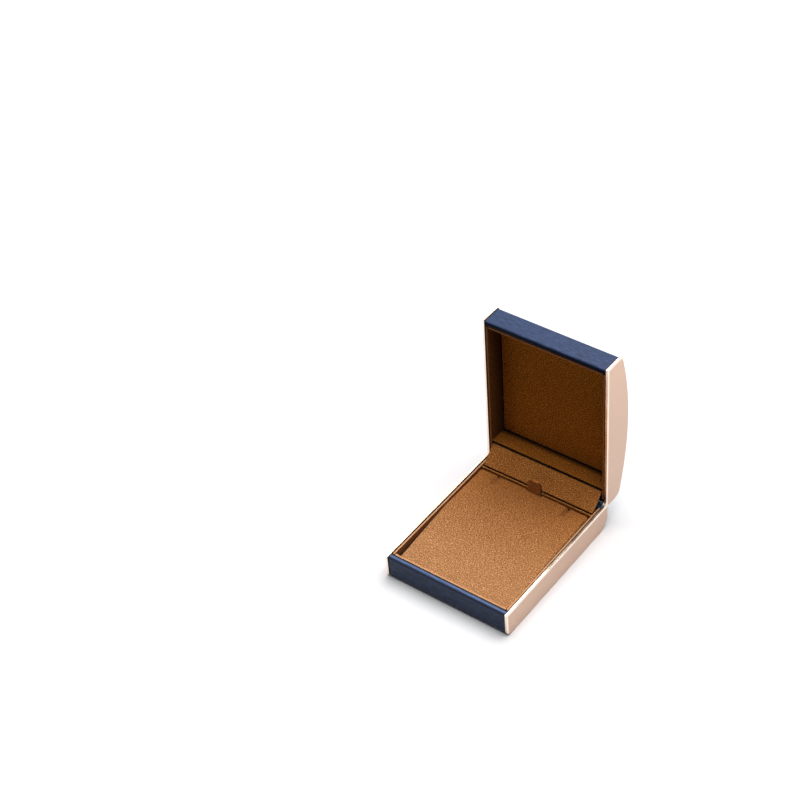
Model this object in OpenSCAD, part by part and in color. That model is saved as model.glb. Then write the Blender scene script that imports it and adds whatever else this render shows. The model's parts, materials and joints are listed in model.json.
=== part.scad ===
// Hinged pendant box. Leatherette over two moulded trays, bevelled metal side
// plates, suede-covered linings, a sprung hinge behind a suede flap and a
// lift-out pad with chain slits and a pull tab. The lid is drawn standing open.
// The origin is the middle of the bottom face; the front is towards -Y.

/* [Box] */
// Width over the two side plates
box_w = 70; // [60:1:90]
// Depth from front to back over the side plates
box_d = 85; // [76:1:110]
// Height of the base from the table to its parting face
base_h = 13.5; // [12.5:0.5:18]
// Height of the lid from its parting face to its crown
lid_h = 18.1; // [17.8:0.1:22]
// Gap left between the parting faces of the shut box
parting_gap = 0.4; // [0.3:0.1:0.8]
// Angle at which the lid stands open
lid_open = 91; // [85:1:100]

/* [Side plates] */
// Thickness of a side plate
plate_t = 2; // [1.5:0.1:3]
// How far a plate stands proud of the leatherette
plate_lip = 0.4; // [0.2:0.1:0.8]
// Polished bevel round the outer face
plate_bevel = 0.5; // [0.2:0.05:0.7]
// Bevel round the inner face, which leaves a dark joint line
plate_back_bevel = 0.45; // [0.1:0.05:0.5]
// Radius of the lid's arched crown
lid_arch_r = 138; // [130:1:180]
// How far the crown's highest line lies in front of the middle
crown_shift = 2.5; // [0:0.1:3.5]
// Radius where the crown turns down to the front of the lid
lid_front_r = 2.5; // [2:0.1:5]
// Radius where the crown turns down to the back of the lid
lid_back_r = 5; // [3:0.1:6]
// Radius of the lower front corner of the base
base_front_r = 2.5; // [2:0.1:5]
// Radius of the lower back corner of the base
base_back_r = 8; // [4:0.1:9]

/* [Wrapped trays] */
// Thickness of the leatherette
wrap_t = 0.7; // [0.4:0.1:1]
// Thickness of the moulded front and back walls
wall_t = 1.6; // [1.2:0.1:2.4]
// Thickness of the moulded floor
floor_t = 1.8; // [1.2:0.1:2.4]
// Chamfer inside the base where its floor meets the back wall
floor_heel = 2.5; // [2:0.1:3.5]
// Thickness of the moulded roof over the crown pocket
roof_t = 1.6; // [1.2:0.1:2.4]
// Depth of the crown pocket from front to back
crown_pocket_d = 48; // [30:1:52]
// Rounding where the leatherette turns over a parting edge
wrap_edge_r = 1.2; // [1:0.1:1.4]
// How far the leatherette is turned in behind a parting edge
wrap_turn = 3; // [2.5:0.1:3.5]
// How far the wrapped walls stop short of the plates' parting edges
wrap_drop = 0.15; // [0.05:0.05:0.4]

/* [Linings] */
// Thickness of a suede-covered lining card
lining_t = 1; // [0.6:0.1:1.5]
// How far the linings stop short of the parting faces
lining_drop = 0.3; // [0.1:0.1:0.8]
// Depth of the lid from its parting face to its ceiling
ceiling_depth = 10.2; // [9.5:0.1:10.6]
// Thickness of the ceiling panel
ceiling_t = 0.8; // [0.6:0.1:1]
// Gap round the ceiling panel
ceiling_gap = 0.6; // [0.2:0.1:0.8]
// Height in the lid at which its back wall starts to lean in
knee_h = 7.6; // [7:0.1:8.5]
// Thickness of the two cards that hide the hinge
hinge_card_t = 0.8; // [0.5:0.1:1.2]
// How far the base's hinge card stops short of the parting face
hinge_card_drop = 0.8; // [0.4:0.1:1.5]
// How far the lid's hinge card stops short of the parting face
ledge_drop = 0.5; // [0.3:0.1:1.5]

/* [Hinge] */
// Distance of the hinge axis from the plates' back edges
hinge_inset = 1; // [0.8:0.1:1.4]
// Half the gap between the plates' back corners when the lid is open
hinge_relief = 0.15; // [0.1:0.05:0.3]
// Radius of the hinge pin
pin_r = 0.4; // [0.3:0.05:0.5]
// Running clearance round the pin
pin_clear = 0.05; // [0.02:0.01:0.1]
// Outer radius of the rolled knuckles
knuckle_r = 0.8; // [0.7:0.05:0.9]
// Gap between neighbouring knuckles
knuckle_gap = 0.2; // [0.1:0.05:0.4]
// Number of knuckles along the barrel
knuckle_n = 5; // [3:2:9]
// Distance of the barrel's ends from the side plates
barrel_margin = 3; // [2.5:0.1:6]
// Thickness of the pressed hinge leaves
leaf_t = 0.4; // [0.3:0.05:0.5]
// Height of a hinge leaf on the wall behind it
leaf_h = 3.2; // [2:0.1:3.8]
// Radius that the edges of the flap sweep round the hinge axis
flap_reach = 7.6; // [7:0.1:8]
// Distance of the flap's face from the hinge axis
flap_stand = 4.75; // [4.7:0.05:5.2]
// Gap between the flap's sweep and the hinge cards, and at its ends
flap_gap = 0.5; // [0.2:0.1:0.6]
// Thickness of the flap's board
flap_board_t = 0.6; // [0.4:0.1:0.7]
// Thickness of the suede round the flap
flap_cover_t = 0.4; // [0.3:0.05:0.4]
// Thickness of the spring strip behind the flap
spring_t = 0.4; // [0.3:0.05:0.4]
// Half height of the spring strip
spring_half = 4.6; // [4:0.1:4.8]
// Depth of the lips along the spring strip
spring_lip = 0.55; // [0.3:0.05:0.6]
// Width of the two arms that carry the flap on the pin
arm_w = 1; // [0.6:0.1:1.5]
// Gap between the pin's ends and the side plates
pin_end_gap = 0.4; // [0.2:0.1:1]

/* [Pad] */
// How far the pad's edges lie below the parting face
pad_drop = 1.5; // [1:0.1:3]
// Crown radius of the pad's upper face
pad_crown_r = 1200; // [600:50:3000]
// Rounding along the pad's upper edges
pad_edge_r = 0.6; // [0.4:0.1:2]
// Slant of the pad's two sides, which leaves wedges beside them
pad_skew = 1.6; // [0:0.1:2]
// Least gap between the pad and the linings
pad_gap = 0.4; // [0.3:0.1:0.8]
// Gap between the pad's board and the floor
pad_seat = 0.05; // [0.02:0.01:0.1]
// Thickness of the board under the pad
pad_board_t = 1; // [0.6:0.1:1.5]
// How far the board stops short of the pad's edges
pad_board_inset = 0.5; // [0.2:0.1:1]
// Distance of each chain slit from the middle of the pad's back edge
slit_x = 19.5; // [12:0.5:24]
// Length of a chain slit from the pad's back edge
slit_l = 6; // [3:0.5:10]
// Width of a chain slit
slit_w = 0.8; // [0.4:0.1:1]
// Depth of a chain slit
slit_h = 5; // [3:0.5:6]
// Width of the pull tab
tab_w = 8; // [6:0.5:12]
// Height of the pull tab above the pad
tab_h = 7.4; // [4:0.1:8]
// Thickness of the pull tab
tab_t = 0.8; // [0.5:0.1:1.2]
// Rounding of the pull tab's upper corners
tab_corner_r = 2.5; // [1:0.1:3]
// Clearance beside the pull tab in the pad's notch
tab_gap = 0.3; // [0.2:0.1:0.5]

/* [Hidden] */
$fn = 96;
// Segments of a full circle for the shallow arches, whose radii are large
arch_fn = 1440;

navy = "#2b3a5e";
rose_gold = "#d3aa93";
suede = "#8f5f33";
black_plastic = "#1e2027";
steel = "#b4b7bc";
card = "#a98a63";

half_d = box_d / 2;
plate_x = box_w / 2 - plate_t;
lining_x = plate_x - lining_t;
wall_w = wrap_t + wall_t + wrap_t;
wall_in = plate_lip + wall_w;
floor_z = wrap_t + floor_t;
turn_z = base_h - wrap_turn;
lid_z = base_h + parting_gap;
roof_z = ceiling_depth + ceiling_t;
lean = roof_z - knee_h;

axis_y = half_d - hinge_inset;
axis_z = base_h + parting_gap / 2;
relief_angle = lid_open / 2;
back_wall_drop = knuckle_r + knuckle_gap;
barrel_x = plate_x - barrel_margin;
knuckle_pitch = 2 * barrel_x / knuckle_n;
leaf_y = wall_in - hinge_inset;
card_reach = flap_reach + flap_gap + hinge_card_t;
flap_half = sqrt(flap_reach * flap_reach - flap_stand * flap_stand);
flap_t = flap_board_t + flap_cover_t;
flap_x = lining_x - flap_gap;
flap_board_x = flap_x - flap_cover_t;
flap_board_half = flap_half - flap_cover_t;
arm_x = barrel_x + knuckle_gap;
arm_end = arm_x + arm_w;
pin_x = plate_x - pin_end_gap;

// How far an arch clips the round corners that it runs into
arch_bite = 0.05;
// Middles of the lid's round corners, out from the crown's highest line
lid_front_touch = lid_arch_r - lid_front_r + arch_bite;
lid_front_y = half_d - crown_shift - lid_front_r;
lid_front_z = lid_h - lid_arch_r + sqrt(pow(lid_front_touch, 2) - pow(lid_front_y, 2));
lid_back_touch = lid_arch_r - lid_back_r + arch_bite;
lid_back_y = half_d + crown_shift - lid_back_r;
lid_back_z = lid_h - lid_arch_r + sqrt(pow(lid_back_touch, 2) - pow(lid_back_y, 2));

// The pad fills the well between the linings from corner to corner
well_front = -half_d + wall_in + lining_t;
well_back = axis_y - card_reach;
well_w = 2 * lining_x - 2 * pad_gap;
pad_l = well_back - well_front - 2 * pad_gap;
pad_w = well_w * cos(pad_skew) - pad_l * sin(pad_skew);
pad_y = (well_front + well_back) / 2;
pad_back_x = -pad_l / 2 * tan(pad_skew);
pad_board_z = floor_z + pad_seat;
pad_z = pad_board_z + pad_board_t;
pad_crown = pow(pad_l / 2, 2) / (2 * pad_crown_r);
pad_h = base_h - pad_drop + pad_crown - pad_z;

// Extrudes an outline drawn in the YZ plane from x0 to x1
module across(x0, x1) {
    translate([x0, 0, 0]) rotate([90, 0, 90]) linear_extrude(x1 - x0) children();
}

module along_x(r, x0, x1) {
    translate([x0, 0, 0]) rotate([0, 90, 0]) cylinder(r = r, h = x1 - x0);
}

// Places a piece drawn about the hinge axis
module at_axis() {
    translate([0, axis_y, axis_z]) children();
}

// Opens a piece drawn in its shut place in the box
module lid_pose() {
    at_axis() rotate([-lid_open, 0, 0]) translate([0, -axis_y, -axis_z]) children();
}

// Opens a piece of the flap, drawn upright about the hinge axis
module flap_pose() {
    at_axis() rotate([-lid_open / 2, 0, 0]) children();
}

module pad_pose(z) {
    translate([0, pad_y, z]) children();
}

module mirrored_x() {
    mirror([1, 0, 0]) children();
}

// Outline with a shallow arch that runs into round upper corners
module arched_outline(d, h, arch_r, corner_r) {
    touch = arch_r - corner_r + arch_bite;
    corner_y = d / 2 - corner_r;
    corner_z = h - arch_r + sqrt(pow(touch, 2) - pow(corner_y, 2));
    crown_y = corner_y * arch_r / touch;
    intersection() {
        translate([0, h - arch_r]) circle(arch_r, $fn = arch_fn);
        translate([-d, 0]) square([2 * d, 2 * h]);
        union() {
            translate([-crown_y, 0]) square([2 * crown_y, 2 * h]);
            translate([-d / 2, 0]) square([d, corner_z]);
            for (side = [-1, 1]) translate([side * corner_y, corner_z]) circle(corner_r);
        }
    }
}

// One side of the lid's section, from the crown's highest line out to a round corner
module lid_shoulder(corner_y, corner_z, corner_r, crown_y) {
    lap = corner_y / 2;
    translate([-lap, 0]) square([lap + crown_y, 2 * lid_h]);
    translate([-lap, 0]) square([lap + corner_y + corner_r, corner_z]);
    translate([corner_y, corner_z]) circle(corner_r);
}

module lid_arch(inset) {
    translate([0, lid_h - lid_arch_r]) circle(lid_arch_r - inset, $fn = arch_fn);
}

module lid_outline(inset) {
    arch_r = lid_arch_r - inset;
    translate([-crown_shift, 0]) intersection() {
        lid_arch(inset);
        translate([-box_d, 0]) square([2 * box_d, 2 * lid_h]);
        union() {
            mirror([1, 0]) lid_shoulder(lid_front_y, lid_front_z, lid_front_r - inset,
                lid_front_y * arch_r / lid_front_touch);
            lid_shoulder(lid_back_y, lid_back_z, lid_back_r - inset,
                lid_back_y * arch_r / lid_back_touch);
        }
    }
}

// One side of the base's section, from the middle out to a round lower corner
module base_shoulder(corner_r, inset) {
    corner_y = half_d - plate_lip - corner_r;
    lap = corner_y / 2;
    translate([-lap, inset]) square([lap + corner_y, base_h - inset]);
    translate([-lap, corner_r]) square([lap + corner_y + corner_r - inset, base_h - corner_r]);
    translate([corner_y, corner_r]) circle(corner_r - inset);
}

// Upright strip with round upper corners
module round_top(w, h, r) {
    square([w, h - r]);
    translate([r, 0]) square([w - 2 * r, h]);
    for (x = [r, w - r]) translate([x, h - r]) circle(r);
}

// The two edges of a tray, each a strip w wide rising from its turned-in hem
module tray_edges(inset, front_h, back_h) {
    w = wall_w - 2 * inset;
    r = wrap_edge_r - inset;
    translate([-half_d + plate_lip + inset, 0]) round_top(w, front_h - inset, r);
    translate([half_d - wall_in + inset, 0]) round_top(w, back_h - inset, r);
}

// Section of the wrapped base, filled, drawn in by an inset
module base_fill(inset) {
    intersection() {
        union() {
            mirror([1, 0]) base_shoulder(base_front_r, inset);
            base_shoulder(base_back_r, inset);
        }
        translate([-half_d, 0]) square([box_d, turn_z]);
    }
    translate([0, turn_z])
        tray_edges(inset, wrap_turn - wrap_drop, axis_z - back_wall_drop - turn_z);
}

// Section of the wrapped lid, filled, standing on its parting face
module lid_fill(inset) {
    intersection() {
        lid_outline(plate_lip + inset);
        translate([-half_d, wrap_turn]) square([box_d, lid_h]);
    }
    translate([0, wrap_turn]) mirror([0, 1])
        tray_edges(inset, wrap_turn - wrap_drop, wrap_turn + lid_z - axis_z - back_wall_drop);
}

// Section of the base's well, with its chamfered heel
module base_hollow() {
    back = half_d - wall_in;
    polygon([
        [-back, floor_z], [back - floor_heel, floor_z], [back, floor_z + floor_heel],
        [back, 2 * base_h], [-back, 2 * base_h]
    ]);
}

// Section of the lid's hollow, with a back wall that leans in above the knee
module lid_hollow() {
    back = half_d - wall_in;
    polygon([[-back, 0], [back, 0], [back, knee_h], [back - lean, roof_z], [-back, roof_z]]);
}

// Disc of plate with both rims bevelled
module bevel_disc(r, segments = $fn) {
    rotate_extrude($fn = segments) polygon([
        [0, 0], [r - plate_back_bevel, 0], [r, plate_back_bevel],
        [r, plate_t - plate_bevel], [r - plate_bevel, plate_t], [0, plate_t]
    ]);
}

// Quarter of a bevelled disc, towards +X and +Y
module bevel_quarter(r) {
    intersection() {
        bevel_disc(r);
        translate([0, 0, -plate_t]) cube([2 * r, 2 * r, 3 * plate_t]);
    }
}

// Strip of plate h high, out to a bevelled edge
module bevel_strip(reach, h) {
    lap = reach / 2;
    translate([0, h, 0]) rotate([90, 0, 0]) linear_extrude(h) polygon([
        [-lap, 0], [reach - plate_back_bevel, 0], [reach, plate_back_bevel],
        [reach, plate_t - plate_bevel], [reach - plate_bevel, plate_t], [-lap, plate_t]
    ]);
}

// Cuts both bevels of a straight edge that lies along the x axis
module edge_bevel() {
    over = plate_t;
    translate([-box_d, 0, 0]) rotate([90, 0, 90]) linear_extrude(2 * box_d) {
        polygon([
            [plate_bevel + over, plate_t + over], [-over, plate_t + over],
            [-over, plate_t - plate_bevel - over]
        ]);
        polygon([
            [plate_back_bevel + over, -over], [-over, -over],
            [-over, plate_back_bevel + over]
        ]);
    }
}

// One side of a base plate lying flat, from the middle out to a round lower corner
module base_plate_side(corner_r) {
    bar = half_d - corner_r;
    lap = bar / 2;
    translate([bar, corner_r, 0]) mirror([0, 1, 0]) bevel_quarter(corner_r);
    translate([0, corner_r, 0]) bevel_strip(half_d, base_h - corner_r);
    difference() {
        translate([-lap, 0, 0]) cube([lap + bar, base_h, plate_t]);
        edge_bevel();
    }
}

// Base plate lying flat, with its outer face up
module base_plate_blank() {
    difference() {
        union() {
            mirror([1, 0, 0]) base_plate_side(base_front_r);
            base_plate_side(base_back_r);
        }
        translate([0, base_h, 0]) mirror([0, 1, 0]) edge_bevel();
    }
}

// One side of a lid plate lying flat, from the crown's highest line out to a round corner
module lid_plate_side(corner_y, corner_z, corner_r, touch) {
    lap = corner_y / 2;
    translate([corner_y, corner_z, 0]) bevel_quarter(corner_r);
    translate([-lap, 0, 0]) cube([lap + corner_y * lid_arch_r / touch, 2 * lid_h, plate_t]);
    bevel_strip(corner_y + corner_r, corner_z);
}

// Lid plate lying flat, with its outer face up
module lid_plate_blank() {
    difference() {
        translate([-crown_shift, 0, 0]) intersection() {
            translate([0, lid_h - lid_arch_r, 0]) bevel_disc(lid_arch_r, arch_fn);
            union() {
                mirror([1, 0, 0]) lid_plate_side(lid_front_y, lid_front_z, lid_front_r, lid_front_touch);
                lid_plate_side(lid_back_y, lid_back_z, lid_back_r, lid_back_touch);
            }
        }
        edge_bevel();
    }
}

// Half space above a plane that slopes down and back from the hinge axis
module hinge_slope() {
    across(-box_w, box_w)
        rotate(-relief_angle) translate([-box_d, -hinge_relief]) square([2 * box_d, box_d]);
}

module base_plate() {
    color(rose_gold) difference() {
        translate([plate_x, 0, 0]) rotate([90, 0, 90]) base_plate_blank();
        at_axis() hinge_slope();
    }
}

module lid_plate() {
    color(rose_gold) lid_pose() difference() {
        translate([plate_x, 0, lid_z]) rotate([90, 0, 90]) lid_plate_blank();
        at_axis() mirror([0, 0, 1]) hinge_slope();
    }
}

module base_plate_right() {
    base_plate();
}

module base_plate_left() {
    mirrored_x() base_plate();
}

module lid_plate_right() {
    lid_plate();
}

module lid_plate_left() {
    mirrored_x() lid_plate();
}

module base_wrap() {
    color(navy) across(-plate_x, plate_x) difference() {
        base_fill(0);
        base_fill(wrap_t);
    }
}

module base_shell() {
    color(black_plastic) across(-plate_x, plate_x) difference() {
        base_fill(wrap_t);
        base_hollow();
    }
}

module lid_wrap() {
    color(navy) lid_pose() translate([0, 0, lid_z]) across(-plate_x, plate_x) difference() {
        lid_fill(0);
        lid_fill(wrap_t);
    }
}

module lid_shell() {
    color(black_plastic) lid_pose() translate([0, 0, lid_z]) across(-plate_x, plate_x) difference() {
        lid_fill(wrap_t);
        lid_hollow();
        translate([-crown_shift, 0]) intersection() {
            lid_arch(plate_lip + wrap_t + roof_t);
            translate([-crown_pocket_d / 2, 0]) square([crown_pocket_d, lid_h]);
        }
    }
}

// Upright card across the base between two depths
module base_card(y0, y1, drop) {
    color(suede) translate([-lining_x, y0, floor_z]) cube([2 * lining_x, y1 - y0, base_h - drop - floor_z]);
}

module base_lining_front() {
    base_card(-half_d + wall_in, well_front, lining_drop);
}

module base_lining_right() {
    color(suede) across(lining_x, plate_x) intersection() {
        base_hollow();
        translate([-half_d, 0]) square([box_d, base_h - lining_drop]);
    }
}

module base_lining_left() {
    mirrored_x() base_lining_right();
}

module base_hinge_card() {
    base_card(well_back, well_back + hinge_card_t, hinge_card_drop);
}

module lid_lining_front() {
    color(suede) lid_pose() translate([-lining_x, -half_d + wall_in, lid_z + lining_drop])
        cube([2 * lining_x, lining_t, roof_z - lining_drop]);
}

module lid_lining_right() {
    color(suede) lid_pose() translate([0, 0, lid_z]) across(lining_x, plate_x) difference() {
        lid_hollow();
        translate([-half_d, 0]) square([box_d, lining_drop]);
    }
}

module lid_lining_left() {
    mirrored_x() lid_lining_right();
}

// Card that makes the ledge above the hinge when the lid stands open
module lid_hinge_card() {
    color(suede) lid_pose() translate([-lining_x, well_back, lid_z + ledge_drop])
        cube([2 * lining_x, hinge_card_t, roof_z - ledge_drop]);
}

module lid_ceiling() {
    front = -half_d + wall_in + lining_t + ceiling_gap;
    back = well_back - ceiling_gap;
    panel_x = lining_x - ceiling_gap;
    color(suede) lid_pose() translate([-panel_x, front, lid_z + ceiling_depth])
        cube([2 * panel_x, back - front, ceiling_t]);
}

// Pressed leaf of the base, drawn about the hinge axis, with every other
// knuckle from the first one given
module leaf(first) {
    difference() {
        union() {
            across(-barrel_x, barrel_x) {
                translate([-leaf_y - leaf_t, -knuckle_r]) square([leaf_y + leaf_t, leaf_t]);
                translate([-leaf_y - leaf_t, -knuckle_r - leaf_h])
                    square([leaf_t, leaf_h + leaf_t]);
            }
            knuckles(first, knuckle_r, knuckle_gap);
        }
        knuckles(1 - first, knuckle_r + knuckle_gap, 0);
        along_x(pin_r + pin_clear, -box_w, box_w);
    }
}

module knuckles(first, r, gap) {
    for (k = [first : 2 : knuckle_n - 1])
        along_x(r, -barrel_x + k * knuckle_pitch + gap / 2, -barrel_x + (k + 1) * knuckle_pitch - gap / 2);
}

module base_hinge_leaf() {
    color(steel) at_axis() leaf(0);
}

module lid_hinge_leaf() {
    color(steel) lid_pose() at_axis() mirror([0, 0, 1]) leaf(1);
}

module hinge_pin() {
    color(steel) at_axis() along_x(pin_r, -pin_x, pin_x);
}

// Channel-shaped spring strip with an arm near each end and long eyes out to the ends of the pin
module hinge_spring() {
    front = -flap_stand + flap_t;
    color(steel) flap_pose() difference() {
        union() {
            across(-arm_end, arm_end) {
                translate([front, -spring_half]) square([spring_t, 2 * spring_half]);
                for (z = [-spring_half, spring_half - spring_t])
                    translate([front, z]) square([spring_t + spring_lip, spring_t]);
            }
            for (x = [-arm_end, arm_x])
                across(x, x + arm_w) translate([front, -spring_t / 2]) square([-front, spring_t]);
            for (x = [-pin_x, arm_x]) along_x(knuckle_r, x, x + pin_x - arm_x);
        }
        along_x(pin_r + pin_clear, -box_w, box_w);
    }
}

module flap_board() {
    color(card) flap_pose() translate([-flap_board_x, -flap_stand + flap_cover_t, -flap_board_half])
        cube([2 * flap_board_x, flap_board_t, 2 * flap_board_half]);
}

// Suede over the face, edges and ends of the flap's board
module flap_cover() {
    color(suede) flap_pose() difference() {
        across(-flap_x, flap_x) translate([-flap_stand, 0]) {
            translate([0, -flap_board_half]) square([flap_t, 2 * flap_board_half]);
            translate([flap_cover_t, -flap_half]) square([flap_board_t, 2 * flap_half]);
            for (z = [-flap_board_half, flap_board_half])
                translate([flap_cover_t, z]) circle(flap_cover_t);
        }
        translate([-flap_board_x, -flap_stand + flap_cover_t, -flap_board_half])
            cube([2 * flap_board_x, flap_t, 2 * flap_board_half]);
    }
}

// Plan of the pad's board, with the pad's slanted sides
module pad_plan(inset) {
    w = pad_w - 2 * inset;
    l = pad_l - 2 * inset;
    intersection() {
        translate([-w, -l / 2]) square([2 * w, l]);
        rotate(pad_skew) translate([-w / 2, -l]) square([w, 2 * l]);
    }
}

module pad_board() {
    color(card) pad_pose(pad_board_z) linear_extrude(pad_board_t) pad_plan(pad_board_inset);
}

// Foam under suede, crowned both ways, slit for the chain and notched for the tab
module insert_pad() {
    notch_w = tab_w + 2 * tab_gap;
    color(suede) pad_pose(pad_z) difference() {
        intersection() {
            across(-pad_w, pad_w) arched_outline(pad_l, pad_h, pad_crown_r, pad_edge_r);
            rotate([0, 0, pad_skew]) translate([0, pad_l, 0]) rotate([90, 0, 0])
                linear_extrude(2 * pad_l) arched_outline(pad_w, pad_h, pad_crown_r, pad_edge_r);
        }
        for (x = [-slit_x, slit_x])
            translate([pad_back_x + x - slit_w / 2, pad_l / 2 - slit_l, pad_h - slit_h])
                cube([slit_w, 2 * slit_l, 2 * slit_h]);
        translate([-notch_w / 2, pad_l / 2 - tab_t, 0]) cube([notch_w, 2 * tab_t, 2 * pad_h]);
    }
}

module pull_tab() {
    color(suede) pad_pose(pad_z) translate([-tab_w / 2, pad_l / 2, 0])
        rotate([90, 0, 0]) linear_extrude(tab_t) round_top(tab_w, pad_h + tab_h, tab_corner_r);
}

base_shell();
base_wrap();
base_plate_left();
base_plate_right();
base_lining_front();
base_lining_left();
base_lining_right();
base_hinge_card();
base_hinge_leaf();
hinge_pin();
lid_shell();
lid_wrap();
lid_plate_left();
lid_plate_right();
lid_lining_front();
lid_lining_left();
lid_lining_right();
lid_hinge_card();
lid_ceiling();
lid_hinge_leaf();
hinge_spring();
flap_board();
flap_cover();
pad_board();
insert_pad();
pull_tab();
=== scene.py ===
import json
import math

import bmesh
import bpy
from mathutils import Matrix, Vector, noise


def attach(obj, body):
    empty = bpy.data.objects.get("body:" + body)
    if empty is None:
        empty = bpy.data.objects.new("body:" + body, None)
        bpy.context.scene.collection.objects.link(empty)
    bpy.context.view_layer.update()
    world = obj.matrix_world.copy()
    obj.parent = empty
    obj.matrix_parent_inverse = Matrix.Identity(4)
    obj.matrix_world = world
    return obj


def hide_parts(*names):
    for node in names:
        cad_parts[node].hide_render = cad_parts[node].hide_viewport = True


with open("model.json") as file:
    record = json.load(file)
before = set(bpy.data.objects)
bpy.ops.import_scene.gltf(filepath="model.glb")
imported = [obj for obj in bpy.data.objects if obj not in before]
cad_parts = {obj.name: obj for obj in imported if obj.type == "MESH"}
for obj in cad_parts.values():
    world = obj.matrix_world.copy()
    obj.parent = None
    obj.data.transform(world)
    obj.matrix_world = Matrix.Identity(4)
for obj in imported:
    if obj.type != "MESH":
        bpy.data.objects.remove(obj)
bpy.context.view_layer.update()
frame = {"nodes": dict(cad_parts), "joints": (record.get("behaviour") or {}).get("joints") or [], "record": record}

MM = 0.001
NODES = frame["nodes"]
WHITE = (1, 1, 1, 1)

# Camera at the photograph's view
CAMERA_PLACE = Vector((378.9, -504.4, 659.8)) * MM
CAMERA_AZIMUTH = math.radians(40.54)
CAMERA_ELEVATION = math.radians(41.56)
CAMERA_ROLL = math.radians(-5.53)
CAMERA_LENS = 85.39
CAMERA_SENSOR = 36.0

# Studio
AMBIENT = 0.03
KEY = {"place": Vector((0.05, 0.28, 1.1)), "size": 1.1, "power": 28.0}
FILL = {"place": Vector((-0.7, -0.7, 0.45)), "size": 0.6, "power": 1.0}
FLOOR_SIZE = 6.0
FLOOR_CELLS = 8
FLOOR_TONES = ((0.3, (0.66, 0.66, 0.67)), (0.7, (0.68, 0.68, 0.69)))
FLOOR_GRAIN = 40 * MM
FLOOR_BOUNCE = (0.3, 0.3, 0.3, 1)
FLOOR_GLOW = 1.0
FLOOR_GLOW_SPAN = (0.12, 0.5)

# Frames of the lid and the flap, turned back to where they are upright
JOINTS = {joint["name"]: joint for joint in frame["joints"]}
HINGE_PLACE = Vector(JOINTS["flap_hinge"]["pos_m"])
FLAP_LEAN = math.radians(JOINTS["flap_hinge"]["range_deg"][1])
LID_LEAN = math.radians(JOINTS["lid_hinge"]["range_deg"][1])
UPRIGHT = Matrix.Rotation(math.pi / 2, 4, "X")
UPSIDE_DOWN = Matrix.Rotation(math.pi, 4, "X")

# Soft pieces: rings give shares of the height and how far the side is drawn in there;
# waves give the size, depth, seed and offset of a face's unevenness
PAD_SLANT = math.tan(math.radians(1.6))
PAD_BULGE = 0.8 * MM
PAD_LEFT_BULGE = 1.0 * MM
PAD_LEFT_BEND = 5.0 * MM
PAD_LEFT_LEAST = 0.2
PAD_CROWN_R = 1200 * MM
PAD_CORNER_R = 1.2 * MM
PAD_EDGE_R = 0.6 * MM
PAD_RINGS = ((0.08, 0.03 * MM), (0.25, 0.12 * MM), (0.5, 0.2 * MM), (0.75, 0.2 * MM), (0.93, 0.2 * MM),
             (1, 0.8 * MM))
PAD_WAVES = (11 * MM, 0.12 * MM, 3.0, 0)
SLIT_X = 19.5 * MM
SLIT_W = 0.8 * MM
SLIT_L = 6.0 * MM
SLIT_H = 5.0 * MM
SLIT_WALL = 0.1 * MM
SLIT_LIP = 0.5 * MM
SLIT_LIP_FALL = 0.12 * MM
NOTCH_FADE = 6.0 * MM
NOTCH_MARGIN = 1.5 * SLIT_WALL
TAB_CORNER_R = 2.5 * MM
TAB_EDGE_R = 0.3 * MM
TAB_RINGS = ((0.5, 0), (0.85, 0), (1, 0.12 * MM))
TAB_WAVES = (4 * MM, 0.05 * MM, 7.0, -0.05 * MM)
FLAP_CORNER_R = 0.5 * MM
FLAP_EDGE_R = 0.4 * MM
FLAP_BACK = 0.05 * MM
FLAP_RINGS = ((0.5, 0), (0.85, 0), (1, 0.15 * MM))
FLAP_WAVES = (9 * MM, 0.05 * MM, 11.0, -0.05 * MM)
CEILING_CORNER_R = 0.8 * MM
CEILING_EDGE_R = 0.7 * MM
CEILING_RINGS = ((0.5, 0), (1, 0))
CEILING_WAVES = (13 * MM, 0.04 * MM, 17.0, 0.04 * MM)

# Distances from an edge at which a soft piece has its closest grid lines
EDGE_STEPS = [step * MM for step in (0, 0.05, 0.12, 0.22, 0.36, 0.6, 1.0)]
GRID_STEP = 1.2 * MM

# Rounded edges on the carried-over pieces: width and segments
LINING_EDGE = (0.48 * MM, 5)
PLATE_EDGE = (0.06 * MM, 2)
EDGE_ANGLE = math.radians(30)
WELD_REACH = 0.001 * MM

# Leatherette
LEATHER_TONES = ((0.34, (0.003, 0.010, 0.034)), (0.5, (0.010, 0.024, 0.070)), (0.66, (0.032, 0.058, 0.140)))
LEATHER_CLOUDS = ((0.3, (0.86, 0.87, 0.9)), (0.7, (1, 1, 1)))
# Painted highlight on the base rim's crest, and painted shade in the two lines beside it and on the lid's parting
# edge
LEATHER_CREST_HIGHLIGHT = ((0.34, (0.020, 0.040, 0.095)), (0.66, (0.075, 0.125, 0.25)))
LEATHER_SHADE_LINE_TONE = (0.001, 0.003, 0.010, 1)
LEATHER_PARTING_SHADE = (0.002, 0.004, 0.012, 1)
LEATHER_CLOUD_SIZE = 14 * MM
LEATHER_ROUGH = (0.52, 0.4)
LEATHER_GLOSS = 0.22
PARTING_GLOSS = 0.03
GRAIN_SIZE = 0.45 * MM
GRAIN_STRETCH = (9, 1, 1)
GRAIN_SHARE = 0.65
PEBBLE_SIZE = 0.3 * MM
PEBBLE_SHARE = 0.35
LEATHER_DEPTH = 0.05 * MM
# How far a face is turned: at the rim's crest with its painted highlight, at the two lines of painted shade beside
# it and at the parting edge with its painted shade
CREST_HIGHLIGHT_SPAN = (0.95, 0.99)
SHADE_LINE_FACING = 0.55
SHADE_LINE_SPAN = (0.1, 0.4)
SHADE_LINE_SHARE = 0.9
PARTING_SHADE_SPAN = (0.75, 0.95)

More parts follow.
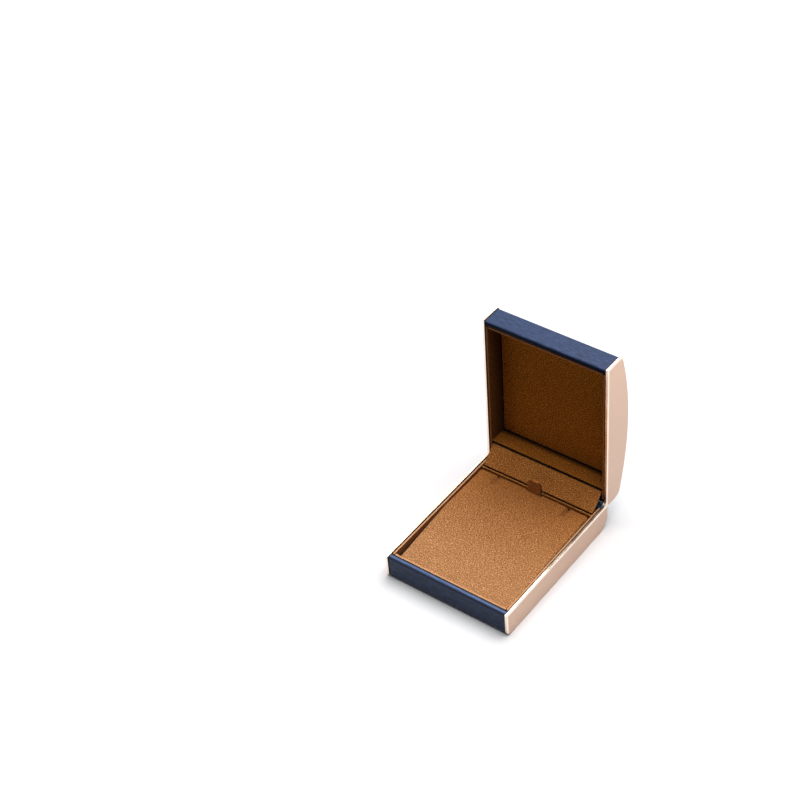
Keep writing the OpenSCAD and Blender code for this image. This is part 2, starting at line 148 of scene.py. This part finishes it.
# Rose-gold plates
SATIN_TONES = ((0.35, (0.44, 0.30, 0.22)), (0.65, (0.70, 0.50, 0.39)))
POLISHED_TONES = ((0.3, (0.90, 0.73, 0.60)), (0.7, (0.96, 0.82, 0.70)))
# Painted shade on the plates' faces turned inward, next to the linings
INWARD_SHADE_TONE = (0.03, 0.02, 0.015, 1)
SATIN_SPAN = (0.93, 0.985)
INWARD_SHADE_SPAN = (-0.3, -0.6)
SATIN_ROUGH = (0.36, 0.46)
POLISHED_ROUGH = (0.22, 0.3)
PLATE_CLOUD_SIZE = 9 * MM
BLAST_SIZE = 0.22 * MM
BLAST_DEPTH = 0.015 * MM

# Tones of the suede, from the shaded depth of the nap to its tips; the sets are lit and shaded copies of one
# suede, each painted paler or darker for the light and shade on its part
BASE_TONES = ((0.045, 0.009, 0.0006), (0.19, 0.042, 0.004), (0.38, 0.105, 0.017))
LID_TONES = ((0.018, 0.005, 0.0005), (0.128, 0.042, 0.0035), (0.26, 0.102, 0.0145))
LEDGE_TONES = ((0.04, 0.0105, 0.0006), (0.214, 0.067, 0.0062), (0.52, 0.192, 0.0315))
CEILING_TONES = ((0.04, 0.0105, 0.00045), (0.23, 0.066, 0.0036), (0.74, 0.252, 0.0256))
FLAP_TONES = ((0.062, 0.018, 0.0025), (0.30, 0.103, 0.021), (0.69, 0.285, 0.0765))
TAB_TONES = ((0.08, 0.020, 0.002), (0.34, 0.115, 0.022), (0.66, 0.27, 0.07))
FOOT_TONES = ((0.06, 0.017, 0.002), (0.25, 0.090, 0.019), (0.52, 0.22, 0.06))
PAD_TONES = ((0.07, 0.0245, 0.006), (0.278, 0.120, 0.044), (0.63, 0.328, 0.152))
# Painted highlight on the linings' turned edges
BASE_EDGE_HIGHLIGHT_TONES = ((0.26, 0.11, 0.04), (0.62, 0.34, 0.18))
LID_EDGE_HIGHLIGHT_TONES = ((0.16, 0.052, 0.013), (0.40, 0.16, 0.06))
# Painted shade at open joints and beside the plates
JOINT_SHADE_TONE = (0.006, 0.002, 0.0005, 1)
SHEEN_TINT = (1.0, 0.72, 0.46, 1)
PATCH_TONES = ((0.3, (0.94, 0.935, 0.93)), (0.7, (1, 1, 1)))
PATCH_SIZE = 6 * MM
SUEDE_ROUGH = (0.88, 0.97)
# The nap is a stipple of tufts under fibres and hairs; its levels at the three tones
TUFT_SIZE = 0.56 * MM
TUFT_SCATTER = 0.85
TUFT_SHARE = 0.4
FIBRE_SIZE = 0.3 * MM
HAIR_SIZE = 0.12 * MM
HAIR_STRETCH = 4
HAIR_SHARE = 0.5
NAP_STOPS = (0.507, 0.682, 0.857)
NAP_DEPTH = 0.1 * MM
# How far a face is turned, from plain to marked: at a turned edge with its painted highlight, and at an open joint
# and a side lining's joint, both with painted shade
EDGE_HIGHLIGHT_SPAN = (0.45, 0.75)
JOINT_SHADE_SPAN = (0.2, 0.5)
SIDE_SHADE_SPAN = (0.05, 0.25)
# Painted shade in corners: the axis, the stretch along it and the tint, at the open lid's ceiling and beside the
# pad
LEDGE_CORNER_SHADE = (1, 49.0 * MM, 51.8 * MM, (0.06, 0.05, 0.03))
LID_CORNER_SHADE = (1, 43.8 * MM, 51.8 * MM, (0.35, 0.30, 0.20))
PAD_SIDE_SHADE = (2, 11.0 * MM, 9.2 * MM, (0.30, 0.20, 0.12))
# Stretch of the pad, from its middle to its back, over which painted shade darkens the nap, and the tint there
PAD_BACK_SHADE_SPAN = (-0.02, 0.036)
PAD_BACK_SHADE_TINT = (0.84, 0.63, 0.35)

# Plastic, steel and board
PLASTIC_TONES = ((0.3, (0.010, 0.011, 0.015)), (0.7, (0.020, 0.021, 0.027)))
PLASTIC_ROUGH = (0.5, 0.68)
PLASTIC_CLOUD_SIZE = 8 * MM
SPARK_SIZE = 0.2 * MM
SPARK_DEPTH = 0.02 * MM
STEEL_TONES = ((0.3, (0.10, 0.10, 0.11)), (0.7, (0.16, 0.16, 0.17)))
STEEL_ROUGH = (0.25, 0.42)
STAIN_SIZE = 4 * MM
BRUSH_SIZE = 0.1 * MM
BRUSH_STRETCH = (60, 1, 1)
BRUSH_DEPTH = 0.01 * MM
BOARD_TONES = ((0.3, (0.27, 0.20, 0.13)), (0.7, (0.44, 0.34, 0.23)))
FLECK_TONES = ((0.25, (0.6, 0.58, 0.55)), (0.38, (1, 1, 1)))
BOARD_ROUGH = (0.82, 0.94)
PULP_SIZE = 0.35 * MM
PULP_STRETCH = (4, 2, 1)
FLECK_SIZE = 0.9 * MM
PULP_DEPTH = 0.05 * MM

# Finishes of the pieces that don't take the one named like their slot
FINISH_OF = {
    "base_lining_front": "base_suede",
    "base_lining_left": "base_suede",
    "base_lining_right": "base_suede",
    "base_hinge_card": "foot_suede",
    "lid_lining_front": "lid_suede",
    "lid_lining_left": "lid_suede",
    "lid_lining_right": "lid_suede",
    "lid_hinge_card": "ledge_suede",
    "lid_ceiling": "ceiling_suede",
    "flap_cover": "flap_suede",
    "insert_pad": "pad_suede",
    "pull_tab": "tab_suede",
    "lid_wrap": "lid_leatherette",
}


class Shader:
    """One material, built round its Principled BSDF, with patterns in metres on the piece itself."""

    def __init__(self, name):
        self.material = bpy.data.materials.new(name)
        self.material.use_nodes = True
        self.tree = self.material.node_tree
        self.bsdf = self.tree.nodes["Principled BSDF"]
        coordinates = self.add("ShaderNodeTexCoord").outputs
        self.place = coordinates["Object"]
        self.normal = coordinates["Normal"]

    def connect(self, socket, value):
        """Links a socket to another node's, or sets it to a constant."""
        if isinstance(value, bpy.types.NodeSocket):
            self.tree.links.new(value, socket)
        else:
            socket.default_value = value

    def add(self, kind, links=None, **settings):
        """A new node with these settings and inputs."""
        node = self.tree.nodes.new(kind)
        for name, value in settings.items():
            setattr(node, name, value)
        for socket, value in (links or {}).items():
            self.connect(node.inputs[socket], value)
        return node

    def noise(self, size, detail=2.0, roughness=0.5, stretch=(1, 1, 1)):
        """Noise with features of that size, drawn out by stretch along X, Y and Z."""
        scale = [1 / (size * factor) for factor in stretch]
        place = self.add("ShaderNodeMapping", {"Vector": self.place, "Scale": scale})
        links = {"Vector": place.outputs[0], "Scale": 1.0, "Detail": detail, "Roughness": roughness}
        return self.add("ShaderNodeTexNoise", links).outputs["Fac"]

    def tufts(self, size):
        """Distance from the nearest of many scattered points, about size apart.

        The points lie in X and Y, both moved along by the height, so that upright faces get them too."""
        height = self.axes(self.place)["Z"]
        slant = self.add("ShaderNodeCombineXYZ", {"X": height, "Y": height}).outputs[0]
        moved = self.add("ShaderNodeVectorMath", {0: self.place, 1: slant}, operation="ADD").outputs[0]
        links = {"Vector": moved, "Scale": 1 / size, "Randomness": TUFT_SCATTER}
        return self.add("ShaderNodeTexVoronoi", links, voronoi_dimensions="2D").outputs["Distance"]

    def axes(self, vector):
        return self.add("ShaderNodeSeparateXYZ", {0: vector}).outputs

    def ramp(self, value, stops):
        """Colours by a pattern's level, from (level, colour) stops."""
        node = self.add("ShaderNodeValToRGB", {"Fac": value})
        stops = list(stops)
        elements = node.color_ramp.elements
        while len(elements) < len(stops):
            elements.new(1.0)
        for element, (level, colour) in zip(elements, stops):
            element.position = level
            element.color = (*colour, 1)
        return node.outputs["Color"]

    def spread(self, value, low, high, at=(0.3, 0.7)):
        """A pattern's level, spread from low to high."""
        links = {"Value": value, "From Min": at[0], "From Max": at[1], "To Min": low, "To Max": high}
        return self.add("ShaderNodeMapRange", links).outputs["Result"]

    def math(self, operation, first, second=0.0):
        return self.add("ShaderNodeMath", {0: first, 1: second}, operation=operation).outputs[0]

    def weigh(self, first, first_share, second, second_share):
        """Sum of two patterns, each times its share."""
        first = self.math("MULTIPLY", first, first_share)
        return self.math("ADD", first, self.math("MULTIPLY", second, second_share))

    def mix(self, share, first, second):
        """The first colour, turned into the second by that share."""
        links = {0: share, 6: first, 7: second}
        return self.add("ShaderNodeMix", links, data_type="RGBA").outputs[2]

    def mix_values(self, share, first, second):
        links = {0: share, 2: first, 3: second}
        return self.add("ShaderNodeMix", links, data_type="FLOAT").outputs[0]

    def tint(self, colour, by):
        """A colour multiplied by another."""
        links = {0: 1.0, 6: colour, 7: by}
        return self.add("ShaderNodeMix", links, data_type="RGBA", blend_type="MULTIPLY").outputs[2]

    def facing(self, way):
        """How far the face is turned that way, from -1 to 1."""
        links = {0: self.normal, 1: way}
        return self.add("ShaderNodeVectorMath", links, operation="DOT_PRODUCT").outputs["Value"]

    def outward(self):
        """How far the face is turned away from the box's middle plane, from -1 to 1."""
        side = self.math("SIGN", self.axes(self.place)["X"])
        return self.math("MULTIPLY", self.axes(self.normal)["X"], side)

    def bump(self, height, depth, strength=0.6):
        links = {"Height": height, "Distance": depth, "Strength": strength}
        return self.add("ShaderNodeBump", links).outputs["Normal"]

    def finish(self, links):
        """The material, with these inputs of its Principled BSDF."""
        for socket, value in links.items():
            self.connect(self.bsdf.inputs[socket], value)
        return self.material


def leatherette(name, edge=None, crest=None):
    """Navy leatherette with a fine grain along the box's width.

    edge names the way in which a parting edge faces that takes painted shade, crest the way in which a rim faces
    that takes a painted highlight between two lines of painted shade."""
    shader = Shader(name)
    grain = shader.noise(GRAIN_SIZE, 3, 0.6, GRAIN_STRETCH)
    pebble = shader.noise(PEBBLE_SIZE, 2, 0.6)
    cloud = shader.noise(LEATHER_CLOUD_SIZE)
    tone = shader.weigh(grain, GRAIN_SHARE, pebble, PEBBLE_SHARE)
    colour = shader.tint(shader.ramp(tone, LEATHER_TONES), shader.ramp(cloud, LEATHER_CLOUDS))
    gloss = LEATHER_GLOSS
    # Painted highlight on the rim's crest, between two lines of painted shade
    if crest:
        facing = shader.facing(crest)
        beside = shader.math("ABSOLUTE", shader.math("SUBTRACT", facing, SHADE_LINE_FACING))
        painted_edge_light_shade = shader.spread(beside, SHADE_LINE_SHARE, 0.0, at=SHADE_LINE_SPAN)
        colour = shader.mix(painted_edge_light_shade, colour, LEATHER_SHADE_LINE_TONE)
        crest_highlight = shader.ramp(tone, LEATHER_CREST_HIGHLIGHT)
        colour = shader.mix(shader.spread(facing, 0.0, 1.0, at=CREST_HIGHLIGHT_SPAN), colour, crest_highlight)
    # Painted shade on the parting edge, which also loses its gloss
    if edge:
        turned = shader.spread(shader.facing(edge), 0.0, 1.0, at=PARTING_SHADE_SPAN)
        colour = shader.mix(turned, colour, LEATHER_PARTING_SHADE)
        gloss = shader.spread(turned, LEATHER_GLOSS, PARTING_GLOSS, at=(0.0, 1.0))
    return shader.finish({
        "Base Color": colour,
        "Roughness": shader.spread(tone, *LEATHER_ROUGH),
        "Specular IOR Level": gloss,
        "Normal": shader.bump(tone, LEATHER_DEPTH, 0.7),
    })


def rose_gold():
    """Satin rose-gold plate with polished bevels and parting edges, and painted shade, dark and not metal, on the
    faces turned inward.
    """
    shader = Shader("rose_gold")
    outward = shader.outward()
    satin = shader.spread(outward, 0.0, 1.0, at=SATIN_SPAN)
    # Painted shade, dark and not metal, on the faces turned inward
    inward_shaded = shader.spread(outward, 0.0, 1.0, at=INWARD_SHADE_SPAN)
    blast = shader.noise(BLAST_SIZE, 2, 0.6)
    cloud = shader.noise(PLATE_CLOUD_SIZE)
    metal = shader.mix(satin, shader.ramp(cloud, POLISHED_TONES), shader.ramp(blast, SATIN_TONES))
    polished_rough = shader.spread(cloud, *POLISHED_ROUGH)
    satin_rough = shader.spread(blast, *SATIN_ROUGH)
    return shader.finish({
        "Base Color": shader.mix(inward_shaded, metal, INWARD_SHADE_TONE),
        "Metallic": shader.spread(inward_shaded, 1.0, 0.0, at=(0.0, 1.0)),
        "Roughness": shader.mix_values(satin, polished_rough, satin_rough),
        "Specular IOR Level": 0.1,
        "Normal": shader.bump(shader.math("MULTIPLY", blast, satin), BLAST_DEPTH),
    })


def suede(name, tones, sheen, edge_highlight=None, back=None, corner_shade=None, joint=None):
    """Napped brown suede: a stipple of short fibres over three tones.

    In turn, the last four arguments give the way in which the turned edges face and the tones of their painted
    highlight; the tint of painted shade towards the hinge; the axis, stretch and tint of painted shade in a
    corner;
    and the way in which an edge faces that takes painted shade at an open joint, or outward."""
    shader = Shader(name)
    stipple = shader.tufts(TUFT_SIZE)
    fibre = shader.noise(FIBRE_SIZE, 2, 0.7)
    along = shader.noise(HAIR_SIZE, 1, stretch=(HAIR_STRETCH, 1, 1))
    across = shader.noise(HAIR_SIZE, 1, stretch=(1, HAIR_STRETCH, 1))
    hair = shader.math("ADD", fibre, shader.math("MAXIMUM", along, across))
    nap = shader.weigh(stipple, TUFT_SHARE, hair, HAIR_SHARE)
    patch = shader.noise(PATCH_SIZE)
    colour = shader.tint(shader.ramp(nap, zip(NAP_STOPS, tones)), shader.ramp(patch, PATCH_TONES))
    place = shader.axes(shader.place)
    # Painted shade towards the back of the pad, under the open lid
    if back:
        brushed = shader.spread(place["Y"], 0.0, 1.0, at=PAD_BACK_SHADE_SPAN)
        colour = shader.mix(brushed, colour, shader.tint(colour, (*back, 1)))
    # Painted shade in a corner
    if corner_shade:
        axis, start, end, dark = corner_shade
        corner_shaded = shader.spread(place[axis], 0.0, 1.0, at=(start, end))
        colour = shader.mix(corner_shaded, colour, shader.tint(colour, (*dark, 1)))
    # Painted highlight on the turned edges
    if edge_highlight:
        way, highlight_tones = edge_highlight
        painted_edge_light_shade = shader.spread(shader.facing(way), 0.0, 1.0, at=EDGE_HIGHLIGHT_SPAN)
        colour = shader.mix(painted_edge_light_shade, colour, shader.ramp(nap, zip(NAP_STOPS[::2], highlight_tones)))
    # Painted shade at an open joint, or on the side linings beside the plates
    if joint == "outward":
        colour = shader.mix(shader.spread(shader.outward(), 0.0, 1.0, at=SIDE_SHADE_SPAN), colour, JOINT_SHADE_TONE)
    elif joint:
        colour = shader.mix(shader.spread(shader.facing(joint), 0.0, 1.0, at=JOINT_SHADE_SPAN), colour, JOINT_SHADE_TONE)
    return shader.finish({
        "Base Color": colour,
        "Roughness": shader.spread(patch, *SUEDE_ROUGH),
        "Specular IOR Level": 0.05,
        "Sheen Weight": sheen,
        "Sheen Roughness": 0.4,
        "Sheen Tint": SHEEN_TINT,
        "Normal": shader.bump(nap, NAP_DEPTH, 0.5),
    })


def tray_plastic():
    """Black moulded plastic with a fine spark-eroded texture."""
    shader = Shader("tray_plastic")
    spark = shader.noise(SPARK_SIZE, 2, 0.6)
    return shader.finish({
        "Base Color": shader.ramp(shader.noise(PLASTIC_CLOUD_SIZE), PLASTIC_TONES),
        "Roughness": shader.spread(spark, *PLASTIC_ROUGH),
        "Specular IOR Level": 0.35,
        "Normal": shader.bump(spark, SPARK_DEPTH),
    })


def hinge_steel():
    """Pressed spring steel, brushed along its length."""
    shader = Shader("hinge_steel")
    brush = shader.noise(BRUSH_SIZE, 3, 0.6, BRUSH_STRETCH)
    return shader.finish({
        "Base Color": shader.ramp(shader.noise(STAIN_SIZE, 3), STEEL_TONES),
        "Metallic": 1.0,
        "Roughness": shader.spread(brush, *STEEL_ROUGH),
        "Normal": shader.bump(brush, BRUSH_DEPTH),
    })


def greyboard():
    """Uncoated pulp board with flecks and short fibres."""
    shader = Shader("greyboard")
    pulp = shader.noise(PULP_SIZE, 3, 0.65, PULP_STRETCH)
    fleck = shader.noise(FLECK_SIZE, 2, 0.7)
    return shader.finish({
        "Base Color": shader.tint(shader.ramp(pulp, BOARD_TONES), shader.ramp(fleck, FLECK_TONES)),
        "Roughness": shader.spread(pulp, *BOARD_ROUGH),
        "Specular IOR Level": 0.2,
        "Normal": shader.bump(pulp, PULP_DEPTH),
    })


def make_finishes():
    base_edge_highlight = ((0, 0, 1), BASE_EDGE_HIGHLIGHT_TONES)
    lid_edge_highlight = ((0, -1, 0), LID_EDGE_HIGHLIGHT_TONES)
    return {
        # Two copies of one leatherette: the base's with a painted highlight on its rim, the lid's with painted
        # shade on its parting edge
        "leatherette": leatherette("leatherette", crest=(0, 0, 1)),
        "lid_leatherette": leatherette("lid_leatherette", edge=(0, -1, 0)),
        "rose_gold": rose_gold(),
        # The suede finishes are one suede in lit and shaded copies, with painted light and shade for each part
        "base_suede": suede("base_suede", BASE_TONES, 0.2, base_edge_highlight, corner_shade=PAD_SIDE_SHADE, joint="outward"),
        "foot_suede": suede("foot_suede", FOOT_TONES, 0.05),
        "lid_suede": suede("lid_suede", LID_TONES, 0.1, lid_edge_highlight, corner_shade=LID_CORNER_SHADE, joint="outward"),
        "ledge_suede": suede("ledge_suede", LEDGE_TONES, 0.15, corner_shade=LEDGE_CORNER_SHADE, joint=(0, -1, 0)),
        "ceiling_suede": suede("ceiling_suede", CEILING_TONES, 0.1),
        "flap_suede": suede("flap_suede", FLAP_TONES, 0.25, joint=(0, 1, 0)),
        "tab_suede": suede("tab_suede", TAB_TONES, 0.25, joint=(1, 0, 0)),
        "pad_suede": suede("pad_suede", PAD_TONES, 0.4, back=PAD_BACK_SHADE_TINT),
        "tray_plastic": tray_plastic(),
        "hinge_steel": hinge_steel(),
        "greyboard": greyboard(),
    }


def grid_lines(span, marks=()):
    """Grid lines across span, packed at both edges, with one line on each mark."""
    half = span / 2
    fixed = {step - half for step in EDGE_STEPS} | {half - step for step in EDGE_STEPS} | set(marks)
    fixed = sorted(fixed)
    lines = fixed[:1]
    for line in fixed[1:]:
        start = lines[-1]
        count = max(1, math.ceil((line - start) / GRID_STEP))
        lines += [start + (line - start) * k / count for k in range(1, count + 1)]
    return lines


def clamp(value, reach):
    return max(-reach, min(reach, value))


def rounded_place(x, y, half_x, half_y, corner):
    """A grid point drawn into the outline's round corner, its depth from the outline and the way out."""
    core = Vector((clamp(x, half_x - corner), clamp(y, half_y - corner)))
    out = Vector((x, y)) - core
    reach = max(abs(out.x), abs(out.y))
    if out.length > 0:
        out.normalize()
    return core + out * reach, corner - reach, out


def edge_drop(depth, radius):
    """How far a rounded edge falls at that depth from the outline."""
    if depth >= radius:
        return 0.0
    return radius - math.sqrt(max(0.0, radius ** 2 - (radius - depth) ** 2))


def link(name, data):
    """A new object in the scene."""
    thing = bpy.data.objects.new(name, data)
    bpy.context.scene.collection.objects.link(thing)
    return thing


def link_mesh(name, mesh):
    """A new object in the scene from a bmesh, which is used up."""
    data = bpy.data.meshes.new(name)
    mesh.to_mesh(data)
    mesh.free()
    return link(name, data)


def soft_slab(name, size, corner, edge, rings, lift, shift=None, marks=((), ())):
    """A closed soft slab: a gridded upper face with rounded edges over drawn-in sides and a flat foot.

    rings lists the sides from the upper edge to the foot, as shares of the height and how far each is
    drawn in. lift changes the upper face's height, shift moves a point in plan and marks adds grid lines."""
    columns = grid_lines(size.x, marks[0])
    rows = grid_lines(size.y, marks[1])
    mesh = bmesh.new()
    grid = []
    ways = {}
    for y in rows:
        line = []
        for x in columns:
            place, depth, out = rounded_place(x, y, size.x / 2, size.y / 2, corner)
            height = size.z - edge_drop(depth, edge) + lift(place.x, place.y)
            if shift:
                place = place + shift(place.x, place.y)
            vertex = mesh.verts.new((place.x, place.y, height))
            ways[vertex] = out
            line.append(vertex)
        grid.append(line)
    for low, high in zip(grid, grid[1:]):
        for k in range(len(columns) - 1):
            mesh.faces.new((low[k], low[k + 1], high[k + 1], high[k])).smooth = True
    right_side = [line[-1] for line in grid[1:]]
    left_side = [line[0] for line in grid[-2:0:-1]]
    rim = grid[0] + right_side + grid[-1][-2::-1] + left_side
    upper = rim
    for share, draw in rings:
        lower = []
        for vertex in rim:
            x = vertex.co.x - ways[vertex].x * draw
            y = vertex.co.y - ways[vertex].y * draw
            lower.append(mesh.verts.new((x, y, vertex.co.z * (1 - share))))
        for k in range(len(rim)):
            after = (k + 1) % len(rim)
            mesh.faces.new((upper[after], upper[k], lower[k], lower[after])).smooth = True
        upper = lower
    mesh.faces.new(upper[::-1])
    return link_mesh(name, mesh)


def extent(node, place):
    """Lowest and highest corner of a CAD node in a turned frame."""
    inverse = place.inverted()
    points = [inverse @ vertex.co for vertex in NODES[node].data.vertices]
    low = Vector([min(point[k] for point in points) for k in range(3)])
    high = Vector([max(point[k] for point in points) for k in range(3)])
    return low, high


def put(piece, place, finish, slot, body, *nodes):
    """Places a soft piece, gives it its finish and lets it stand for its CAD nodes."""
    piece.matrix_world = place
    piece.data.materials.append(finish)
    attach(piece, body)
    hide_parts(*nodes)


def uneven(size, depth, seed, offset):
    """The lift of a hand-wrapped face: a slow unevenness, moved by offset."""
    def lift(x, y):
        return depth * noise.noise(Vector((x / size, y / size, seed))) + offset
    return lift


def make_pad(place, finish):
    """The pad: crowned and slanted, with two chain slits and a notch for the tab."""
    low, high = extent("insert_pad", place)
    size = high - low
    size.x -= size.y * PAD_SLANT
    half_x = size.x / 2
    half_y = size.y / 2
    tab_low, tab_high = extent("pull_tab", place)
    notch_x = half_y * PAD_SLANT
    notch_half = (tab_high.x - tab_low.x) / 2
    notch_depth = tab_high.y - tab_low.y
    slit_start = half_y - SLIT_L
    waves = uneven(*PAD_WAVES)

    def lift(x, y):
        height = -(x ** 2 + y ** 2) / (2 * PAD_CROWN_R) + waves(x, y)
        beside = max(abs(abs(x) - SLIT_X) - SLIT_W / 2, slit_start - y)
        if beside < 0:
            return height - SLIT_H
        return height - SLIT_LIP_FALL * max(0.0, 1 - beside / SLIT_LIP) ** 2

    def shift(x, y):
        bulge = PAD_BULGE * max(0.0, x / half_x) * (1 + y / half_y) / 2
        if y > PAD_LEFT_BEND:
            bend = (half_y - y) / (half_y - PAD_LEFT_BEND)
        else:
            bend = (half_y + y) / (half_y + PAD_LEFT_BEND)
        bulge += PAD_LEFT_BULGE * min(0.0, x / half_x) * max(PAD_LEFT_LEAST, bend)
        move = Vector((bulge - y * PAD_SLANT, 0))
        if abs(x - notch_x) < notch_half + NOTCH_MARGIN:
            move.y = -notch_depth * max(0.0, 1 - (half_y - y) / NOTCH_FADE) ** 2
        return move

    half_slit = SLIT_W / 2
    walls = [side * (SLIT_X + near) for side in (-1, 1)
             for near in (-half_slit, SLIT_WALL - half_slit, half_slit - SLIT_WALL, half_slit)]
    cheeks = [notch_x + side * (notch_half + near) for side in (-1, 1)
              for near in (SLIT_WALL, 2 * SLIT_WALL)]
    marks = (walls + cheeks, [slit_start, slit_start + SLIT_WALL])
    pad = soft_slab("pad_cushion", size, PAD_CORNER_R, PAD_EDGE_R, PAD_RINGS, lift, shift, marks)
    middle = (low + high) / 2
    put(pad, place @ Matrix.Translation((middle.x, middle.y, low.z)), finish, "suede", "pad", "insert_pad")


def make_tab(place, finish):
    """The pull tab, standing at the back of the pad."""
    low, high = extent("pull_tab", place)
    size = Vector((high.x - low.x, high.z - low.z, high.y - low.y))
    tab = soft_slab("pad_tab", size, TAB_CORNER_R, TAB_EDGE_R, TAB_RINGS, uneven(*TAB_WAVES))
    foot = Matrix.Translation(((low.x + high.x) / 2, high.y, (low.z + high.z) / 2))
    put(tab, place @ foot @ UPRIGHT, finish, "suede", "pad", "pull_tab")


def make_flap(place, finish):
    """The flap over the hinge."""
    low, high = extent("flap_cover", place)
    size = Vector((high.x - low.x, high.z - low.z, high.y - low.y - FLAP_BACK))
    flap = soft_slab("flap_panel", size, FLAP_CORNER_R, FLAP_EDGE_R, FLAP_RINGS, uneven(*FLAP_WAVES))
    foot = Matrix.Translation((0, high.y - FLAP_BACK, 0))
    put(flap, place @ foot @ UPRIGHT, finish, "suede", "flap", "flap_cover")


def make_ceiling(place, finish):
    """The panel in the lid, facing into the box."""
    low, high = extent("lid_ceiling", place)
    panel = soft_slab("lid_ceiling_panel", high - low, CEILING_CORNER_R, CEILING_EDGE_R, CEILING_RINGS,
                      uneven(*CEILING_WAVES))
    middle = (low + high) / 2
    foot = Matrix.Translation((middle.x, middle.y, high.z))
    put(panel, place @ foot @ UPSIDE_DOWN, finish, "suede", "lid", "lid_ceiling")


def soften(node, width, segments):
    """Rounds the edges of a carried-over piece, whose faces are first joined at their shared edges."""
    weld = NODES[node].modifiers.new("weld", "WELD")
    weld.merge_threshold = WELD_REACH
    bevel = NODES[node].modifiers.new("edges", "BEVEL")
    bevel.width = width
    bevel.segments = segments
    bevel.limit_method = "ANGLE"
    bevel.angle_limit = EDGE_ANGLE
    bevel.harden_normals = True


def dress_frame(finishes):
    """Gives each carried-over piece its finish, and edges to match."""
    edges = {"suede": LINING_EDGE, "rose_gold": PLATE_EDGE}
    for part in frame["record"]["subparts"]:
        node = part["node"]
        slot = part["material_slot"]
        NODES[node].data.materials.clear()
        NODES[node].data.materials.append(finishes[FINISH_OF.get(node, slot)])
        if slot in edges:
            soften(node, *edges[slot])


def seen_directly(tree):
    """1 for rays from the camera, a reflection or a see-through piece, else 0."""
    path = tree.nodes.new("ShaderNodeLightPath")
    total = path.outputs["Is Camera Ray"]
    for name in ("Is Glossy Ray", "Is Transmission Ray"):
        both = tree.nodes.new("ShaderNodeMath")
        both.operation = "MAXIMUM"
        tree.links.new(total, both.inputs[0])
        tree.links.new(path.outputs[name], both.inputs[1])
        total = both.outputs[0]
    return total


def make_world():
    """A white background that gives the box only a little light."""
    world = bpy.data.worlds.new("studio")
    bpy.context.scene.world = world
    world.use_nodes = True
    tree = world.node_tree
    level = tree.nodes.new("ShaderNodeMapRange")
    level.inputs["To Min"].default_value = AMBIENT
    level.inputs["To Max"].default_value = 1.0
    tree.links.new(seen_directly(tree), level.inputs["Value"])
    tree.nodes["Background"].inputs["Color"].default_value = WHITE
    tree.links.new(level.outputs["Result"], tree.nodes["Background"].inputs["Strength"])


def make_floor():
    """A pale floor that shows its shadows to the camera and throws little light back at the box."""
    mesh = bmesh.new()
    bmesh.ops.create_grid(mesh, x_segments=FLOOR_CELLS, y_segments=FLOOR_CELLS, size=FLOOR_SIZE / 2)
    floor = link_mesh("floor", mesh)
    shader = Shader("floor")
    seen = seen_directly(shader.tree)
    pale = shader.ramp(shader.noise(FLOOR_GRAIN), FLOOR_TONES)
    distance = shader.add("ShaderNodeVectorMath", {0: shader.place}, operation="LENGTH").outputs["Value"]
    glow = shader.spread(distance, 0.0, FLOOR_GLOW, at=FLOOR_GLOW_SPAN)
    floor.data.materials.append(shader.finish({
        "Base Color": shader.mix(seen, FLOOR_BOUNCE, pale),
        "Roughness": 0.9,
        "Specular IOR Level": 0.0,
        "Emission Color": WHITE,
        "Emission Strength": shader.math("MULTIPLY", glow, seen),
    }))


def make_softbox(name, place, size, power):
    """A square softbox turned to the box."""
    lamp = bpy.data.lights.new(name, "AREA")
    lamp.shape = "SQUARE"
    lamp.size = size
    lamp.energy = power
    softbox = link(name, lamp)
    softbox.location = place
    softbox.rotation_euler = (-place).to_track_quat("-Z", "Y").to_euler()


def make_camera():
    """The camera at the photograph's view."""
    right = Vector((math.cos(CAMERA_AZIMUTH), math.sin(CAMERA_AZIMUTH), 0))
    level_back = Vector((math.sin(CAMERA_AZIMUTH), -math.cos(CAMERA_AZIMUTH), 0))
    back = level_back * math.cos(CAMERA_ELEVATION) + Vector((0, 0, math.sin(CAMERA_ELEVATION)))
    turn = Matrix((right, back.cross(right), back)).transposed().to_4x4()
    lens = bpy.data.cameras.new("camera")
    lens.lens = CAMERA_LENS
    lens.sensor_width = CAMERA_SENSOR
    camera = link("camera", lens)
    camera.matrix_world = Matrix.Translation(CAMERA_PLACE) @ turn @ Matrix.Rotation(CAMERA_ROLL, 4, "Z")
    bpy.context.scene.camera = camera


finishes = make_finishes()
dress_frame(finishes)

pad_frame = Matrix.Identity(4)
flap_frame = Matrix.Translation(HINGE_PLACE) @ Matrix.Rotation(-FLAP_LEAN, 4, "X")
lid_frame = Matrix.Translation(HINGE_PLACE) @ Matrix.Rotation(-LID_LEAN, 4, "X")
make_pad(pad_frame, finishes["pad_suede"])
make_tab(pad_frame, finishes["tab_suede"])
make_flap(flap_frame, finishes["flap_suede"])
make_ceiling(lid_frame, finishes["ceiling_suede"])

make_world()
make_floor()
make_softbox("key", **KEY)
make_softbox("fill", **FILL)
make_camera()
bpy.context.scene.view_settings.view_transform = "Standard"
